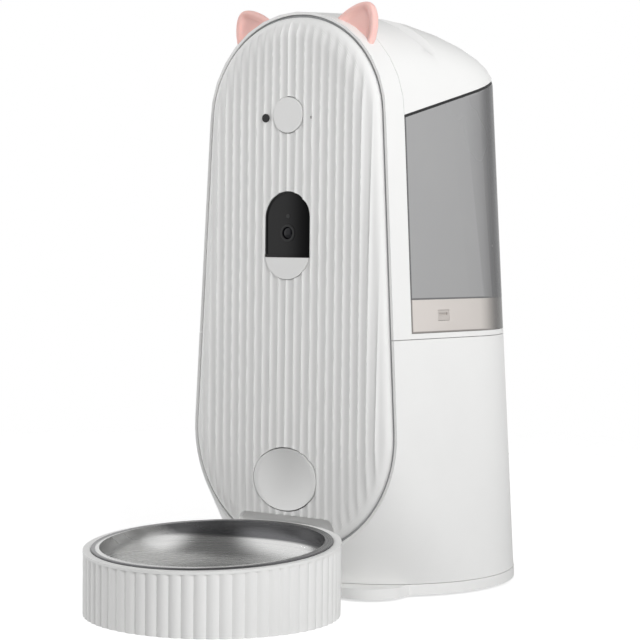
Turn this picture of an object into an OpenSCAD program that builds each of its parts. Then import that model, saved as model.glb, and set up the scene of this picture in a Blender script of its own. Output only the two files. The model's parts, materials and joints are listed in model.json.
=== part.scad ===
// Automatic pet feeder with a camera, cat ears and a smoked food tank.
// Millimetres, Z up, the reeded front faces minus Y, the origin lies on the floor
// under the middle of the box around the whole object.
// Depths in the modules count back from the rim of the front panel.

/* [Front panel] */
// Height of the reeded panel
panel_h = 335; // [280:1:402]
// Radius of the round top of the panel
panel_rt = 64; // [58:0.5:70]
// Radius of the round bottom of the panel
panel_rb = 75; // [66:0.5:84]
// Height of the panel's lowest point above the floor
panel_lift = 28.3; // [24.3:0.5:34.3]
// How far the middle of the panel stands in front of its rim
panel_bulge = 10; // [9:0.25:10.25]
// Width of the rounded margin round the panel
panel_edge = 14; // [11:0.5:18]
// Thickness of the panel shell
panel_wall = 3; // [2.4:0.1:3.6]
// Distance from reed to reed
reed_pitch = 6.1; // [5:0.1:8]
// Depth of the valleys between the reeds
reed_depth = 1.3; // [0.8:0.1:1.7]

/* [Button, sensor and microphone] */
// Diameter of the feed button
button_d = 22.1; // [18:0.1:26]
// Distance from the panel's top down to the button's middle
button_drop = 61; // [50:0.5:75]
// Travel of the button
button_travel = 1.2; // [0.8:0.1:1.5]
// Diameter of the light sensor
sensor_d = 5.2; // [4:0.1:6.5]
// Distance of the sensor and the microphone from the panel's middle line
sensor_x = 17.3; // [17:0.1:21]

/* [Camera] */
// Width of the camera window
cam_w = 34; // [28:0.5:41]
// Height of the camera window
cam_h = 55; // [46:0.2:66]
// Distance from the panel's top down to the window's middle
cam_drop = 136; // [118:0.5:158]
// Height of the white pad in the bottom of the window
pad_h = 13.8; // [10:0.2:17]
// Diameter of the ring round the lens
lens_d = 10.7; // [9:0.1:13]
// Diameter of the small light above the lens
light_d = 2.7; // [2:0.1:3.5]

/* [Food outlet] */
// Width of the outlet door
door_w = 48; // [40:0.5:50]
// Height of the outlet door
door_h = 39.4; // [33:0.2:43]
// Height of the door's middle above the panel's lowest point
door_up = 45.5; // [44:0.5:50]
// Depth of the dish in the door
dish_d = 4.8; // [3:0.1:5.5]
// Height of the bowl's recess above the panel's lowest point
recess_up = 23; // [21.5:0.5:23.5]

/* [Housing] */
// Radius of the round body at the floor
rear_r = 93; // [78:0.5:111]
// Distance from the panel's rim plane to the front of the round body
rear_set = 5; // [4:0.5:10]
// How much the body's radius shrinks for each millimetre of height
draft = 0.06; // [0.04:0.001:0.065]
// Wall thickness of the mouldings
wall = 2.4; // [2:0.1:2.9]
// Width of the lip and the grey strip round the panel
reveal = 3.5; // [3:0.1:4.2]
// Height of the joint between the lower and the upper housing
seam_z = 164; // [158:1:172]
// Depth of the front band, up to the tank and the lid
band_d = 17; // [15:0.5:22]
// Height of the top of the base plate
base_top = 8.25; // [7:0.25:10.5]
// Height that the rubber feet hold the base plate off the floor
foot_h = 1.5; // [1:0.1:2.5]

/* [Ears] */
// Distance of an ear's inner foot from the middle line
ear_in = 29; // [24:0.5:35]
// Distance of an ear's outer foot from the middle line
ear_out = 51.5; // [46:0.5:54]
// Height of an ear's tip over the panel's top
ear_up = 12; // [6:0.5:16]
// Half the thickness of an ear
ear_r = 4.8; // [4:0.1:5.7]

/* [Lid and tank] */
// Distance from the panel's top down to the lid's front corner
lid_drop = 61.3; // [55.3:0.5:66.3]
// Rise of the lid's lower edge towards the back
lid_rise = 30; // [24:0.5:33]
// Depth over which the lid's lower edge rises
lid_run = 116; // [100:1:125]
// Height of the lid's crown over the panel's top
crown_up = 7; // [5.5:0.5:10]
// Depth of the finger hold in the lid
hold_d = 6; // [4:0.2:7]
// Radius across the finger hold
hold_r = 10; // [8:0.5:12]
// Thickness of the seal under the lid
seal_t = 1.5; // [1:0.1:2]

/* [Bowl] */
// Radius over the reeds of the bowl holder
holder_r = 77.5; // [66:0.1:92]
// Distance from the panel's rim plane to the back of the holder
bowl_gap = 5.5; // [4.8:0.1:7]
// Height of the middle of the holder's slanting rim
holder_h = 42; // [40:0.5:43]
// Slant of the rim, low at the front
bowl_tilt = 3.3; // [0:0.1:4]
// Number of reeds round the holder
holder_reeds = 66; // [54:2:80]
// Width of the holder's lip outside the steel flange
lip_w = 4.7; // [4:0.1:6]
// Depth of the steel bowl
bowl_d = 29.5; // [24:0.5:31]

/* [Feeding mechanism] */
// Radius over the rotor's vanes
rotor_r = 32; // [27:0.5:38]
// Length of the rotor
rotor_l = 60; // [50:1:62]
// Number of vanes
rotor_vanes = 6; // [4:1:8]
// Diameter of the rotor's axle
axle_d = 8; // [6:0.5:9.5]
// Depth of the throat over the rotor
throat_d = 46; // [38:1:50]

/* [Hidden] */
$fn = 72;

white = [0.94, 0.94, 0.94];
shade = [0.86, 0.86, 0.87];
grey = [0.55, 0.55, 0.56];
smoke = [0.45, 0.45, 0.46];
pink = [0.93, 0.70, 0.68];
black = [0.06, 0.06, 0.07];
steel = [0.72, 0.72, 0.73];
green = [0.10, 0.35, 0.20];

// Clearances: between moving pieces, in a running fit, and between fixed pieces
gap = 0.4;
run_gap = 0.05;
seat_gap = 0.2;
// Larger than the whole object, for cuts that pass right through
big = 600;
// Thin slices that a hull joins
slice = 0.1;

// Panel: centres of its two end circles and the slope of its straight sides
panel_top = panel_lift + panel_h;
top_c = panel_top - panel_rt;
bot_c = panel_lift + panel_rb;
side_a = asin((panel_rb - panel_rt) / (top_c - bot_c));
face_y = -panel_bulge;
back_y = face_y + panel_wall;

// Housing: the front lip, the strip's seat and the inside of the front wall
lip_y = -1.5;
lip_t = 1.8;
seat_y = 2;
inner_y = seat_y + wall;
rear_cy = rear_r + rear_set;

// Places on the panel
button_z = panel_top - button_drop;
sensor_z = button_z - 1.5;
mic_z = button_z - 2;
cam_z = panel_top - cam_drop;
cam_face = face_y + 0.9;
glass_y = cam_face + 0.7;
pad_top = cam_z - cam_h / 2 + pad_h;
lens_z = cam_z + 1.6;
light_z = cam_z + 12.2;
door_z = panel_lift + door_up;
door_gap = 0.7;
door_y = face_y + 0.3;
door_rim = 3;
recess_z = panel_lift + recess_up;
recess_corner = 6;
recess_wall = 1.6;

// Door hinge, behind the panel's skin
door_pin_r = 1;
door_knuckle_r = 2.4;
door_knuckle = 11.8;
door_lug = 4.8;
hinge_y = face_y + 6.6;
hinge_z = door_z + door_h / 2 - 2.2;

// Lid: parting surface, crown and hinge
lid_z = panel_top - lid_drop;
lid_back_z = lid_z + lid_rise;
lid_turn_y = band_d + lid_run;
lid_wall = wall + 0.2;
rim_over = 2.6;
crown_top = panel_top + crown_up;
crown_y = rear_cy - 36;
crown_l = rear_cy + cone_r(lid_back_z) - crown_y;
crown_h = crown_top - lid_back_z - rim_over;
crown_r = (crown_l * crown_l + crown_h * crown_h) / (2 * crown_h);
seal_gap = 0.3;
side_ribs = 6;
back_step = 7.5;
back_end = 87;
arch_n = 16;
tank_wall = wall - 0.2;
tank_y = band_d + gap;
knuckle_r = 4;
knuckle_w = 13.6;
lug_w = 6.6;
lid_pin_r = 1.5;
hinge_top = lid_z - 1;
knuckle_y = rear_cy + cone_r(hinge_top) + knuckle_r + 0.6;

// Ring that carries the tank, and the funnel that stands in the tank
ring_t = 3.5;
ring_w = wall + 2;
tank_z = seam_z + ring_t + seat_gap;
funnel_y = band_d + wall + 0.6;
funnel_t = 2;
funnel_in = wall + 0.4;
foot_top = seam_z + 24.4;
funnel_top = seam_z + 24;
slope_top = seam_z + 18;

// Rotor, hung so that the case just clears the tank's ring
case_gap = 1;
case_t = 3;
case_in = rotor_r + case_gap;
case_r = case_in + case_t;
case_w = rotor_l / 2 + 1;
rotor_y = case_r + 24;
rotor_z = seam_z - case_r - 4;
neck_top = rotor_z + case_r + 1;
chute_t = 2;
chute_w = rotor_l - 4;
drop_y0 = rotor_y - 22;
drop_y1 = rotor_y + 10;
drop_z = rotor_z - case_r - 1.8;
mouth_w = door_w + 4;
mouth_z0 = door_z - door_h / 2 - 6;
mouth_z1 = door_z + door_h / 2 + 5;
plate_x = case_w + case_t + 9.5;
plate_t = 2.5;

// Base plate and bowl
arm_w = 44;
arm_t = 3;
arm_y = -40;
boss_r = 5;
screw_r = 1.5;
head_r = 3.4;
tongue_w = 134;
tongue_r = 25;
bowl_y = holder_r + bowl_gap;
flange_r = holder_r - lip_w;
flange_w = 4.6;
flange_t = 1;
steel_t = 0.9;
holder_floor = 7.6;
reed_cut = 1.2;

// Reach of the holder into the panel, as half a chord
tuck = panel_bulge - bowl_gap;
recess_w = sqrt(pow(holder_r, 2) - pow(holder_r - tuck, 2)) + 10.6;
recess_y = 1 - bowl_gap;

// The object is centred front to back: bowl at the front, hinge or body at the back
y_shift = ((bowl_y + holder_r) - (rear_cy + rear_r)) / 2;

screw_at = [for (s = [-1, 1], a = [12, 58]) [s * (rear_r - 7) * cos(a), rear_cy + (rear_r - 7) * sin(a)]];
foot_r = 9;
foot_at = [for (s = [-1, 1], p = [[46, 34], [0.6 * rear_r, rear_cy + 0.5 * rear_r]]) [s * p[0], p[1]]];

function cone_r(z) = rear_r - draft * z;
function arc_pts(c, r, a0, a1, n) = [for (i = [0 : n]) let (a = a0 + (a1 - a0) * i / n)
    [c[0] + r * cos(a), c[1] + r * sin(a)]];
// Half the width of the front outline at height z, grown by o
function half_w(z, o) = (panel_rt + o) * cos(side_a)
    + (top_c + (panel_rt + o) * sin(side_a) - z) * tan(side_a);
// Height of the lid's parting surface at depth y
function part_z(y) = lid_z + lid_rise * min(1, (y - band_d) / lid_run);
// Half the width of the body's plan at depth y and height z, shrunk by d: straight sides
// that run from the front outline to the round back, which they touch at angle a
function touch_a(w, r) = atan2(rear_cy, w) - acos(r / sqrt(w * w + rear_cy * rear_cy));
function plan_w(y, z, d) = let (w = half_w(z, reveal - d), r = cone_r(z) - d, a = touch_a(w, r))
    (r - (rear_cy - y) * sin(a)) / cos(a);
// Height at which the arch springs from the sides, and the height of its crown, at depth y
function spring_z(y) = top_c + (lid_back_z - 4 - top_c) * max(0, min(1, (y - band_d) / lid_run));
function crown_z(y) = y < crown_y
    ? panel_top + reveal + (crown_up - reveal) * sin(90 * (y - lip_y) / (crown_y - lip_y))
    : crown_top - crown_r + sqrt(pow(crown_r, 2) - pow(y - crown_y, 2));
// Point of the body's plan at rib k: ribs in even steps along the side, then round the back
function side_pt(k, z, d, y0) = let (y = y0 + (rear_cy - y0) * k / side_ribs,
    a = min(back_end, back_step * (k - side_ribs)), r = cone_r(z) - d)
    k < side_ribs ? [plan_w(y, z, d), y] : [r * cos(a), rear_cy + r * sin(a)];
// One rib of the upper envelope: up the right side, over the arch and down the left side
function rib(k, d, y0, z0) = let (b = side_pt(k, z0, d, y0), zs = spring_z(side_pt(k, lid_z, d, y0)[1]),
    s = side_pt(k, zs, d, y0), h = crown_z(s[1]) - d - zs)
    concat([[b[0], b[1], z0]],
        [for (i = [0 : arch_n]) let (a = 180 * i / arch_n) [s[0] * cos(a), s[1], zs + h * sin(a)]],
        [[-b[0], b[1], z0]]);
// Wall of the bowl from its rim (radius r, height z) down to its middle, d deep
function bowl_curve(r, z, d) = [for (i = [0 : 14]) let (a = 90 - 90 * i / 14)
    [r * pow(sin(a), 0.72), z - d * pow(cos(a), 0.72)]];

module place() {
    translate([0, y_shift, 0]) children();
}

// A shape drawn in X and Z, given depth from y0 to y1
module plate_xz(y0, y1) {
    translate([0, y1, 0]) rotate([90, 0, 0]) linear_extrude(y1 - y0) children();
}

// A shape drawn in Y and Z, given width w about the middle
module slab_yz(w) {
    rotate([90, 0, 90]) linear_extrude(w, center = true) children();
}

// A thin slice of a plan at height z
module slice_at(z) {
    translate([0, 0, z]) linear_extrude(slice) children();
}

// A cylinder along X
module bar_x(x0, x1, r, y, z) {
    translate([x0, y, z]) rotate([0, 90, 0]) cylinder(r = r, h = x1 - x0);
}

// A cylinder along Y
module bar_y(y0, y1, r, x, z) {
    translate([x, y1, z]) rotate([90, 0, 0]) cylinder(r = r, h = y1 - y0);
}

module box(x0, x1, y0, y1, z0, z1) {
    translate([x0, y0, z0]) cube([x1 - x0, y1 - y0, z1 - z0]);
}

// A box about the middle line
module wide(w, y0, y1, z0, z1) {
    box(-w / 2, w / 2, y0, y1, z0, z1);
}

module both_sides() {
    children();
    mirror([1, 0, 0]) children();
}

// Outline of the front, two round ends joined by sloping sides
module outline(o) {
    polygon(concat(
        arc_pts([0, top_c], panel_rt + o, side_a, 180 - side_a, 36),
        arc_pts([0, bot_c], panel_rb + o, 180 - side_a, 360 + side_a, 36)));
}

module outline_top(o, z) {
    polygon(concat(arc_pts([0, top_c], panel_rt + o, side_a, 180 - side_a, 36),
        [[-half_w(z, o), z], [half_w(z, o), z]]));
}

module outline_bottom(o, z) {
    polygon(concat(arc_pts([0, bot_c], panel_rb + o, 180 - side_a, 360 + side_a, 36),
        [[half_w(z, o), z], [-half_w(z, o), z]]));
}

// Cushion form of the panel, thinned by d all round
module pillow(d) {
    hull() {
        for (a = [0, 22.5, 45, 67.5, 90]) {
            y = -(panel_bulge - d) * sin(a);
            plate_xz(y, y + 0.01) outline(-panel_edge * (1 - cos(a)) - d);
        }
    }
}

// Plan of the reeds: convex crests that meet in sharp valleys
module reeds() {
    n = ceil((panel_rb + 2) / reed_pitch);
    edge = (n + 0.5) * reed_pitch;
    crest = [for (i = [-n : n], k = [0 : 5]) let (t = k / 6 - 0.5)
        [(i + t) * reed_pitch, face_y + reed_depth * 4 * t * t]];
    polygon(concat(crest, [[edge, seat_y], [-edge, seat_y]]));
}

// Whole upper envelope, a loft over ribs: front arch, round body and domed top, shrunk by d
module upper_form(d) {
    y0 = d > 0 ? inner_y : lip_y;
    z0 = seam_z + seat_gap - (d > 0 ? 1 : 0);
    m = side_ribs + ceil(back_end / back_step);
    p = arch_n + 3;
    skin = [for (k = [0 : m - 1], i = [0 : p - 2], t = [0, 1]) let (q = k * p + i)
        t == 0 ? [q, q + 1, q + p] : [q + 1, q + p + 1, q + p]];
    front = [for (i = [p - 1 : -1 : 0]) i];
    back = [for (i = [1 : p - 2]) m * p + i];
    back_wall = [m * p, m * p + 1, m * p + p - 2, m * p + p - 1];
    floor = [for (k = [1 : m]) [k * p - p, k * p, k * p + p - 1, k * p - 1]];
    polyhedron([for (k = [0 : m]) each rib(k, d, y0, z0)],
        concat(skin, floor, [front, back, back_wall]), convexity = 4);
}

// Everything above the lid's parting surface, lifted by o
module above_parting(o) {
    slab_yz(big) polygon([[tank_y, lid_z + o], [lid_turn_y, lid_back_z + o],
        [big, lid_back_z + o], [big, big], [tank_y, big]]);
}

// Everything below the parting surface, behind the band, from z0 up
module below_parting(o, z0) {
    slab_yz(big) polygon([[tank_y, z0], [big, z0], [big, lid_back_z + o],
        [lid_turn_y, lid_back_z + o], [tank_y, lid_z + o]]);
}

// Plan of the body at height z, behind depth y0, shrunk by d
module plan(z, y0, d) {
    a = touch_a(half_w(z, reveal - d), cone_r(z) - d);
    polygon(concat([[-plan_w(y0, z, d), y0], [plan_w(y0, z, d), y0]],
        arc_pts([0, rear_cy], cone_r(z) - d, -a, 180 + a, 36)));
}

// Closed form of the lower housing, shrunk by d, open through both ends where it is
module lower_form(d) {
    past = d > 0 ? 1 : 0;
    y0 = d > 0 ? inner_y : lip_y;
    z0 = base_top + 0.3 - past;
    z1 = seam_z - seat_gap + past;
    hull() {
        plate_xz(y0, y0 + 0.5) outline_bottom(reveal - d, z1);
        translate([0, rear_cy, z0]) cylinder(r1 = cone_r(z0) - d, r2 = cone_r(z1) - d, h = z1 - z0);
    }
}

module camera_outline(o) {
    s = (cam_h - cam_w) / 2;
    hull() {
        translate([0, cam_z + s]) circle(cam_w / 2 + o);
        translate([0, cam_z - s]) circle(cam_w / 2 + o);
    }
}

module camera_part(o, z0, z1) {
    intersection() {
        camera_outline(o);
        translate([-cam_w, z0]) square([2 * cam_w, z1 - z0]);
    }
}

module door_outline(o) {
    translate([0, door_z]) scale([(door_w / 2 + o) / (door_h / 2 + o), 1]) circle(door_h / 2 + o);
}

// Base plate with the platform under the panel and the arm that holds the bowl
module base_plate() color(white) place() {
    difference() {
        union() {
            translate([0, 0, foot_h]) linear_extrude(base_top - foot_h) union() {
                translate([0, rear_cy]) circle(rear_r);
                hull() {
                    for (s = [-1, 1]) translate([s * (tongue_w / 2 - tongue_r), tongue_r - 1]) circle(tongue_r);
                    translate([-tongue_w / 2, tongue_r]) square([tongue_w, 54]);
                }
            }
            // Arm under the bowl holder, with a round end
            wide(arm_w, arm_y, 4, foot_h, foot_h + arm_t);
            translate([0, arm_y, foot_h]) cylinder(d = arm_w, h = arm_t);
            // Rim that locates the housing
            difference() {
                translate([0, rear_cy, base_top - 0.5]) cylinder(r = rear_r - wall - 1.2, h = 4.5);
                translate([0, rear_cy, base_top - 1]) cylinder(r = rear_r - wall - 3.4, h = 6);
                wide(big, -big, rear_cy - 20, base_top, big);
            }
        }
        for (p = screw_at) translate([p[0], p[1], 0]) {
            cylinder(r = head_r + seat_gap, h = foot_h + 3);
            cylinder(r = screw_r + seat_gap, h = 20);
            translate([0, 0, base_top]) cylinder(r = boss_r + 1, h = 20);
        }
        for (p = foot_at) translate([p[0], p[1], 0]) cylinder(r = foot_r, h = foot_h + 1.5);
    }
}

module rubber_feet() color(grey) place() {
    chamfer = 0.8;
    for (p = foot_at) translate([p[0], p[1], 0]) {
        translate([0, 0, chamfer]) cylinder(r = foot_r, h = foot_h + 1.5 - chamfer);
        cylinder(r1 = foot_r - chamfer, r2 = foot_r, h = chamfer);
    }
}

module base_screws() color(steel) place() {
    slot_l = 4.8;
    slot_w = 1;
    for (p = screw_at) translate([p[0], p[1], foot_h]) {
        difference() {
            translate([0, 0, 0.6]) cylinder(r = head_r, h = 2.4);
            for (a = [0, 90]) rotate(a) translate([-slot_l / 2, -slot_w / 2, 0]) cube([slot_l, slot_w, 1.6]);
        }
        translate([0, 0, 2]) cylinder(r = screw_r, h = 16);
    }
}

// Lower housing: a round tapered shell that flows forward to the arched front
module lower_housing() color(white) place() {
    difference() {
        union() {
            difference() {
                lower_form(0);
                lower_form(wall);
                plate_xz(-big, seat_y) outline(reveal - lip_t);
            }
            // Screw bosses against the wall
            for (p = screw_at) translate([p[0], p[1], base_top + 0.3]) cylinder(r = boss_r, h = 20);
            // Posts for the main board
            for (p = board_posts) bar_y(inner_y - 0.5, board_y, 3, p[0], p[1]);
        }
        for (p = screw_at) translate([p[0], p[1], base_top]) cylinder(r = screw_r, h = 16);
        // Way through for the chute
        wide(mouth_w + 2 * chute_t + 2, 0, inner_y + 4, mouth_z0 - chute_t - 1, mouth_z1 + chute_t + 1);
        // Opening for the power inlet
        wide(inlet_w + 0.6, rear_cy, big, inlet_z - inlet_h / 2 - 0.3, inlet_z + inlet_h / 2 + 0.3);
    }
}

// Upper housing: front arch and the ring that carries the tank
module upper_housing() color(white) place() {
    difference() {
        intersection() {
            upper_form(0);
            union() {
                wide(big, -big, band_d, seam_z, big);
                wide(big, -big, big, seam_z, seam_z + ring_t);
            }
        }
        upper_form(ring_w);
        intersection() {
            upper_form(wall);
            wide(big, -big, band_d + 1, seam_z + ring_t, big);
        }
        plate_xz(-big, seat_y) outline(reveal - lip_t);
        plate_xz(-1, inner_y + 4) camera_outline(1);
    }
}

// Grey strip between the panel and the housing
module panel_gasket() color(grey) place() {
    plate_xz(0.05, seat_y) difference() {
        outline(reveal - lip_t - gap);
        outline(-5);
    }
}

// Recess for the back of the bowl holder, open below, grown by o
module recess_outline(o) {
    w = recess_w - recess_corner;
    hull() {
        for (s = [-1, 1]) translate([s * w, recess_z - recess_corner]) circle(recess_corner + o);
        translate([-recess_w - o, 0]) square([2 * (recess_w + o), 1]);
    }
}

// Reeded panel with the openings for button, camera, outlet and bowl
module front_panel() color(white) place() {
    bridge_w = button_d + 4;
    post_w = 1.6;
    front = face_y - 5;
    difference() {
        union() {
            difference() {
                intersection() {
                    pillow(0);
                    linear_extrude(panel_top + 50) reeds();
                }
                pillow(panel_wall);
            }
            // Walls of the recess
            plate_xz(back_y - 1, recess_y + recess_wall) intersection() {
                outline(-panel_edge / 2);
                recess_outline(recess_wall);
            }
            // Lugs for the outlet door's pin
            both_sides() translate([door_knuckle + 0.6, 0, 0]) {
                bar_x(0, door_lug, door_knuckle_r, hinge_y, hinge_z);
                box(0, door_lug, back_y - 0.4, hinge_y + door_knuckle_r, hinge_z, hinge_z + 6);
            }
            // Bridge that guides the button's stem
            wide(bridge_w, back_y + 1.8, back_y + 3.4, button_z - 5, button_z + 5);
            both_sides() box(bridge_w / 2 - post_w, bridge_w / 2, back_y - 0.6, back_y + 2, button_z - 5, button_z + 5);
        }
        bar_y(front, back_y + 1, button_d / 2 + 0.3, 0, button_z);
        bar_y(face_y, 0, stem_r + 0.06, 0, button_z);
        bar_y(front, seat_y, sensor_d / 2 + run_gap, -sensor_x, sensor_z);
        bar_y(front, seat_y, 0.55, sensor_x, mic_z);
        plate_xz(front, seat_y) camera_outline(seat_gap);
        plate_xz(front, back_y + 0.2) door_outline(door_gap);
        bar_x(-door_knuckle - door_lug - 0.4, door_knuckle + door_lug + 0.4, door_pin_r, hinge_y, hinge_z);
        // Recess that the back of the bowl holder slides into
        plate_xz(front, recess_y) recess_outline(0);
    }
}

// Cat ear in soft silicone, with a sunken inner face
module ear() {
    ear_y = 10;
    sink = 1.6;
    foot_in = [ear_in, panel_top - 4.5];
    foot_out = [ear_out, panel_top - 23];
    tip = [ear_out - 3.5, panel_top + ear_up - ear_r];
    mid = (foot_in + foot_out + tip) / 3;
    difference() {
        hull() {
            for (q = [foot_in, foot_out, tip]) translate([q[0], ear_y, q[1]]) sphere(r = ear_r, $fn = 20);
        }
        hull() {
            for (q = [foot_in, foot_out, tip])
                bar_y(ear_y - ear_r - 2, ear_y - ear_r + sink, 1.4, q[0] * 0.82 + mid[0] * 0.18, q[1] * 0.82 + mid[1] * 0.18);
        }
    }
}

module right_ear() color(pink) place() difference() {
    ear();
    upper_form(0);
}

module left_ear() color(pink) place() difference() {
    mirror([1, 0, 0]) ear();
    upper_form(0);
}

// Smoked food tank with its own front wall and the lid's hinge lugs
module hopper_tank() color(smoke) place() {
    lug_x = knuckle_w + 0.6;
    difference() {
        union() {
            difference() {
                intersection() {
                    upper_form(0);
                    below_parting(-seal_t - seal_gap, foot_top + run_gap);
                }
                intersection() {
                    upper_form(tank_wall);
                    wide(big, band_d + wall, big, 0, big);
                }
            }
            both_sides() {
                bar_x(lug_x, lug_x + lug_w, knuckle_r, knuckle_y, hinge_top);
                box(lug_x, lug_x + lug_w, knuckle_y - knuckle_r - 2, knuckle_y,
                    hinge_top - knuckle_r, hinge_top + knuckle_r);
            }
        }
        bar_x(-lug_x - lug_w - 1, lug_x + lug_w + 1, lid_pin_r, knuckle_y, hinge_top);
    }
}

// Opaque foot ring under the smoked tank
module tank_foot() color(shade) place() {
    difference() {
        ring_form(tank_y, 0, tank_z, foot_top);
        ring_form(band_d + wall, tank_wall, tank_z - 1, foot_top + 1);
        clip_blocks(clip_gap);
    }
}

// The tank's lower outside from z0 to z1, behind depth y0, shrunk by d
module ring_form(y0, d, z0, z1) {
    hull() {
        slice_at(z0) plan(z0, y0, d);
        slice_at(z1 - slice) plan(z1 - slice, y0, d);
    }
}

// Snap clips low on the tank's two sides
clip_y = 51;
clip_l = 11.8;
clip_h = 6.4;
clip_z = seam_z + 14.4;
clip_gap = 0.2;

module clip_blocks(o) {
    both_sides() box(half_w(clip_z, 0) * 0.7, big, clip_y - clip_l / 2 - o, clip_y + clip_l / 2 + o,
        clip_z - clip_h / 2 - o, clip_z + clip_h / 2 + o);
}

module tank_clips() color(shade) place() {
    sunk = 0.2;
    slot_t = 1.4;
    difference() {
        intersection() {
            ring_form(tank_y, sunk, tank_z, foot_top);
            clip_blocks(0);
        }
        ring_form(tank_y, wall, tank_z, foot_top);
        difference() {
            both_sides() box(0, big, clip_y - 4.4, clip_y + 4.4, clip_z + 0.1, clip_z + 0.1 + slot_t);
            ring_form(tank_y, 1.2, tank_z, foot_top);
        }
    }
}

// Dark silicone strip between tank and lid
module tank_seal() color(black) place() {
    difference() {
        intersection() {
            upper_form(0.3);
            below_parting(-seal_gap, seam_z + 80);
        }
        below_parting(-seal_t - seal_gap + run_gap, 0);
        intersection() {
            upper_form(lid_wall);
            wide(big, band_d + wall + 0.2, big, 0, big);
        }
    }
}

// White funnel in the bottom of the tank
module hopper_funnel() color(white) place() {
    throat_y0 = rotor_y - throat_d / 2;
    throat_y1 = rotor_y + throat_d / 2;
    difference() {
        union() {
            hull() {
                slice_at(tank_z) plan(tank_z, funnel_y, funnel_in);
                slice_at(funnel_top) plan(funnel_top, funnel_y, funnel_in);
            }
            funnel_slope();
        }
        hull() {
            slice_at(slope_top) plan(slope_top, funnel_y + funnel_t, funnel_in + funnel_t);
            slice_at(funnel_top + 1) plan(funnel_top + 1, funnel_y + funnel_t, funnel_in + funnel_t);
        }
        hull() {
            slice_at(slope_top + slice) plan(slope_top, funnel_y + funnel_t, funnel_in + funnel_t);
            wide(rotor_l, throat_y0, throat_y1, neck_top + 3, neck_top + 3 + slice);
        }
        wide(rotor_l, throat_y0, throat_y1, rotor_z, neck_top + 4);
        // Hollow under the slope, outside the throat
        difference() {
            translate([0, 0, tank_z - 1]) linear_extrude(slope_top - tank_z - 1.2)
                plan(slope_top, funnel_y + funnel_t, funnel_in + funnel_t);
            funnel_slope();
        }
    }
}

module funnel_slope() {
    t = case_t;
    hull() {
        slice_at(slope_top) plan(slope_top, funnel_y + 1, funnel_in + 1);
        wide(rotor_l + 2 * t, rotor_y - throat_d / 2 - t, rotor_y + throat_d / 2 + t,
            neck_top + seat_gap, neck_top + 1.4);
    }
}

// Ring that sinks the finger hold into the lid's top
module finger_hold(r) {
    curve_r = 103.8;
    translate([0, crown_y, crown_top + hold_r - hold_d - curve_r]) rotate([90, 0, 0])
        rotate_extrude($fn = 120) translate([curve_r, 0]) circle(r);
}

// Domed lid with a finger hold, a socket for the desiccant and a hinge arm
socket_r = 24;
socket_y = rear_cy + 14;
socket_t = 2;
socket_z = lid_back_z + 14;
desiccant_h = 19;
desiccant_z = lid_back_z + 12;

module lid() color(white) place() {
    arm_t = 3.4;
    difference() {
        union() {
            difference() {
                intersection() {
                    upper_form(0);
                    above_parting(0);
                }
                intersection() {
                    upper_form(lid_wall);
                    wide(big, band_d + lid_wall + 0.2, big, 0, big);
                }
            }
            // Walls of the finger hold and of the socket
            intersection() {
                upper_form(0.8);
                above_parting(4);
                union() {
                    finger_hold(hold_r + wall);
                    translate([0, socket_y, socket_z]) cylinder(r = socket_r + socket_t, h = 60);
                }
            }
            // Arm down to the hinge behind the tank
            wide(2 * knuckle_w, rear_cy + cone_r(lid_back_z) - 6, knuckle_y, lid_back_z + 1, lid_back_z + 5);
            wide(2 * knuckle_w, knuckle_y - arm_t, knuckle_y, hinge_top, lid_back_z + 3);
            bar_x(-knuckle_w, knuckle_w, knuckle_r, knuckle_y, hinge_top);
        }
        finger_hold(hold_r);
        translate([0, socket_y, socket_z - 30]) cylinder(r = socket_r, h = desiccant_z + desiccant_h + 1 - socket_z + 30);
        bar_x(-knuckle_w - 1, knuckle_w + 1, lid_pin_r + run_gap, knuckle_y, hinge_top);
    }
}

module lid_hinge_pin() color(steel) place() {
    l = knuckle_w + 0.6 + lug_w + 0.7;
    bar_x(-l, l, lid_pin_r, knuckle_y, hinge_top);
}

module desiccant_box() color(white) place() {
    r = socket_r - 0.1;
    t = 1.6;
    translate([0, socket_y, desiccant_z]) difference() {
        cylinder(r = r, h = desiccant_h);
        translate([0, 0, -1]) cylinder(r = r - t, h = desiccant_h + 1 - t);
    }
}

module desiccant_cap() color(shade) place() {
    slot_w = 1.8;
    t = 2.4;
    plug_r = socket_r - 1.8;
    translate([0, socket_y, desiccant_z]) difference() {
        union() {
            translate([0, 0, -t]) cylinder(r = socket_r + 1, h = t);
            cylinder(r = plug_r, h = 3);
        }
        cylinder(r = plug_r - 1.6, h = 4);
        for (a = [0 : 30 : 150]) rotate(a) translate([-17, -slot_w / 2, -t - 1]) cube([34, slot_w, t + 2]);
    }
}

// Feed button on a stem that slides in the panel's bridge
stem_r = 3;
cap_t = 2.7;
switch_y = -1.95;

module feed_button() color(white) place() {
    y0 = face_y + 0.1;
    difference() {
        bar_y(y0, y0 + cap_t, button_d / 2, 0, button_z);
        bar_y(y0 + 1.4, y0 + cap_t + 1, button_d / 2 - 1.2, 0, button_z);
    }
    bar_y(y0 + 1, switch_y - button_travel - 0.35, stem_r, 0, button_z);
}

module button_switch() color(black) place() {
    wide(6, switch_y + 0.55, seat_y, button_z - 3, button_z + 3);
    bar_y(switch_y, switch_y + 1, 1.6, 0, button_z);
}

module light_sensor() color(black) place() {
    bar_y(face_y + 0.3, back_y + 1, sensor_d / 2, -sensor_x, sensor_z);
    bar_y(back_y + run_gap, back_y + 2, sensor_d / 2 + 1.2, -sensor_x, sensor_z);
}

module microphone() color(steel) place() {
    bar_y(back_y + run_gap, back_y + 2.4, 3, sensor_x, mic_z);
}

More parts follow.
